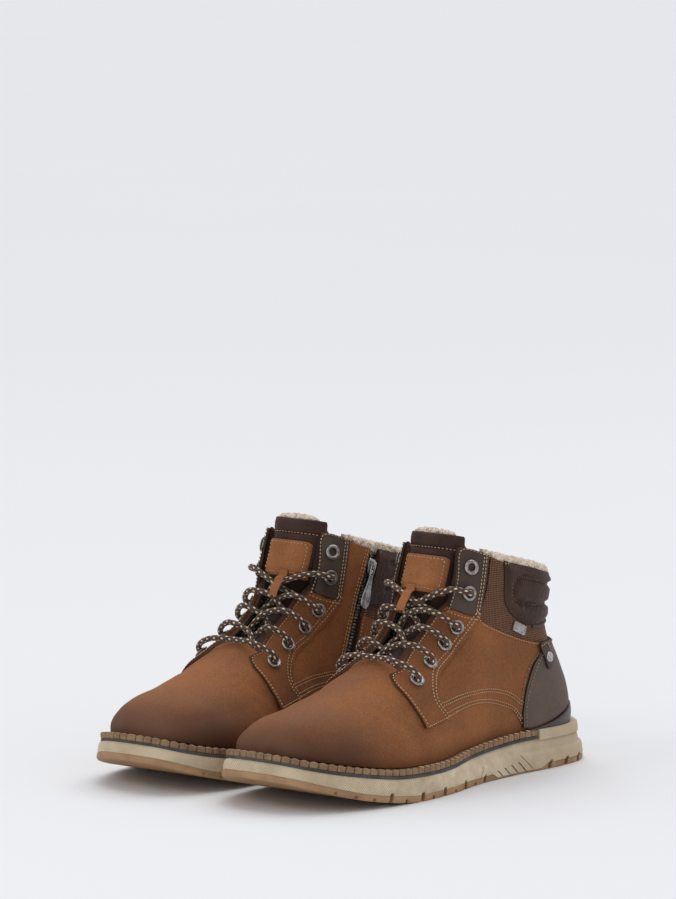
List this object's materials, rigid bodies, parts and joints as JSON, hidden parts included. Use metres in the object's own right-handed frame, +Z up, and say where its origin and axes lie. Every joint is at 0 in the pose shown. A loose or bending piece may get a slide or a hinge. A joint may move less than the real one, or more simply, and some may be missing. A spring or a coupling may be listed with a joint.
{
  "type": "pair of fleece-lined lace-up ankle boots",
  "caption": "Pair of warm-lined lace-up leather ankle boots on lugged wedge soles, with inner zips whose sliders run and whose pulls lift.",
  "frame": {"origin": "middle of the pair's bounding box, on the ground", "axes": "-Y towards the toes, +X towards the left boot, +Z up"},
  "size_m": [0.235, 0.315, 0.1604],
  "materials": {
    "left_ankle_tab_lateral": "smooth leather",
    "left_ankle_tab_medial": "smooth leather",
    "left_collar": "padded grained leather",
    "left_counter_cover": "smooth leather",
    "left_eyelet_strip_lateral": "antique nickel eyelets on their strip",
    "left_eyelet_strip_medial": "antique nickel eyelets on their strip",
    "left_facing_lateral": "nubuck",
    "left_facing_medial": "nubuck",
    "left_footbed": "fleece-topped footbed",
    "left_heel_clip": "moulded heel clip, satin",
    "left_heel_stiffener": "hidden counter",
    "left_heel_strap": "leather tab with a metal stud",
    "left_insole_board": "fibre board",
    "left_lace": "round flecked braid",
    "left_lining": "long fleece",
    "left_midsole": "moulded foam rubber, matte",
    "left_outsole": "gum rubber, lugged",
    "left_quarter_lateral": "nubuck",
    "left_quarter_medial": "nubuck",
    "left_rand": "grey moulded band",
    "left_textile_lateral": "coarse woven textile",
    "left_textile_medial": "coarse woven textile",
    "left_toe_puff": "hidden toe puff",
    "left_tongue": "padded grained leather, fleece behind",
    "left_tongue_patch": "nubuck patch and lace loop",
    "left_vamp": "nubuck, burnished toe",
    "left_welt": "notched leather-look welt",
    "left_zip_chain": "zip tape and teeth",
    "left_zip_pull": "plated",
    "left_zip_slider": "plated",
    "right_ankle_tab_lateral": "smooth leather",
    "right_ankle_tab_medial": "smooth leather",
    "right_collar": "padded grained leather",
    "right_counter_cover": "smooth leather",
    "right_eyelet_strip_lateral": "antique nickel eyelets on their strip",
    "right_eyelet_strip_medial": "antique nickel eyelets on their strip",
    "right_facing_lateral": "nubuck",
    "right_facing_medial": "nubuck",
    "right_footbed": "fleece-topped footbed",
    "right_heel_clip": "moulded heel clip, satin",
    "right_heel_stiffener": "hidden counter",
    "right_heel_strap": "leather tab with a metal stud",
    "right_insole_board": "fibre board",
    "right_lace": "round flecked braid",
    "right_lining": "long fleece",
    "right_midsole": "moulded foam rubber, matte",
    "right_outsole": "gum rubber, lugged",
    "right_quarter_lateral": "nubuck",
    "right_quarter_medial": "nubuck",
    "right_rand": "grey moulded band",
    "right_textile_lateral": "coarse woven textile",
    "right_textile_medial": "coarse woven textile",
    "right_toe_puff": "hidden toe puff",
    "right_tongue": "padded grained leather, fleece behind",
    "right_tongue_patch": "nubuck patch and lace loop",
    "right_vamp": "nubuck, burnished toe",
    "right_welt": "notched leather-look welt",
    "right_zip_chain": "zip tape and teeth",
    "right_zip_pull": "plated",
    "right_zip_slider": "plated"
  },
  "bodies": {
    "boots": {"left_ankle_tab_lateral": "left_ankle_tab_lateral", "left_ankle_tab_medial": "left_ankle_tab_medial", "left_collar": "left_collar", "left_counter_cover": "left_counter_cover", "left_eyelet_strip_lateral": "left_eyelet_strip_lateral", "left_eyelet_strip_medial": "left_eyelet_strip_medial", "left_facing_lateral": "left_facing_lateral", "left_facing_medial": "left_facing_medial", "left_footbed": "left_footbed", "left_heel_clip": "left_heel_clip", "left_heel_stiffener": "left_heel_stiffener", "left_heel_strap": "left_heel_strap", "left_insole_board": "left_insole_board", "left_lace": "left_lace", "left_lining": "left_lining", "left_midsole": "left_midsole", "left_outsole": "left_outsole", "left_quarter_lateral": "left_quarter_lateral", "left_quarter_medial": "left_quarter_medial", "left_rand": "left_rand", "left_textile_lateral": "left_textile_lateral", "left_textile_medial": "left_textile_medial", "left_toe_puff": "left_toe_puff", "left_tongue": "left_tongue", "left_tongue_patch": "left_tongue_patch", "left_vamp": "left_vamp", "left_welt": "left_welt", "left_zip_chain": "left_zip_chain", "right_ankle_tab_lateral": "right_ankle_tab_lateral", "right_ankle_tab_medial": "right_ankle_tab_medial", "right_collar": "right_collar", "right_counter_cover": "right_counter_cover", "right_eyelet_strip_lateral": "right_eyelet_strip_lateral", "right_eyelet_strip_medial": "right_eyelet_strip_medial", "right_facing_lateral": "right_facing_lateral", "right_facing_medial": "right_facing_medial", "right_footbed": "right_footbed", "right_heel_clip": "right_heel_clip", "right_heel_stiffener": "right_heel_stiffener", "right_heel_strap": "right_heel_strap", "right_insole_board": "right_insole_board", "right_lace": "right_lace", "right_lining": "right_lining", "right_midsole": "right_midsole", "right_outsole": "right_outsole", "right_quarter_lateral": "right_quarter_lateral", "right_quarter_medial": "right_quarter_medial", "right_rand": "right_rand", "right_textile_lateral": "right_textile_lateral", "right_textile_medial": "right_textile_medial", "right_toe_puff": "right_toe_puff", "right_tongue": "right_tongue", "right_tongue_patch": "right_tongue_patch", "right_vamp": "right_vamp", "right_welt": "right_welt", "right_zip_chain": "right_zip_chain"},
    "left_zip_slider": {"left_zip_slider": "left_zip_slider"},
    "left_zip_pull": {"left_zip_pull": "left_zip_pull"},
    "right_zip_slider": {"right_zip_slider": "right_zip_slider"},
    "right_zip_pull": {"right_zip_pull": "right_zip_pull"}
  },
  "joints": [
    {"name": "left_zip_slide", "type": "slide", "parent": "boots", "child": "left_zip_slider", "axis": [0.0247, -0.3277, -0.9445], "range_m": [0, 0.058]},
    {"name": "left_pull_hinge", "type": "hinge", "parent": "left_zip_slider", "child": "left_zip_pull", "pos_m": [0.02144, 0.05609, 0.12881], "axis": [-0.0519, 0.9431, -0.3285], "range_deg": [0, 140]},
    {"name": "right_zip_slide", "type": "slide", "parent": "boots", "child": "right_zip_slider", "axis": [-0.0247, -0.3277, -0.9445], "range_m": [0, 0.058]},
    {"name": "right_pull_hinge", "type": "hinge", "parent": "right_zip_slider", "child": "right_zip_pull", "pos_m": [-0.02144, 0.05609, 0.12881], "axis": [-0.0519, -0.9431, 0.3285], "range_deg": [0, 140]}
  ]
}
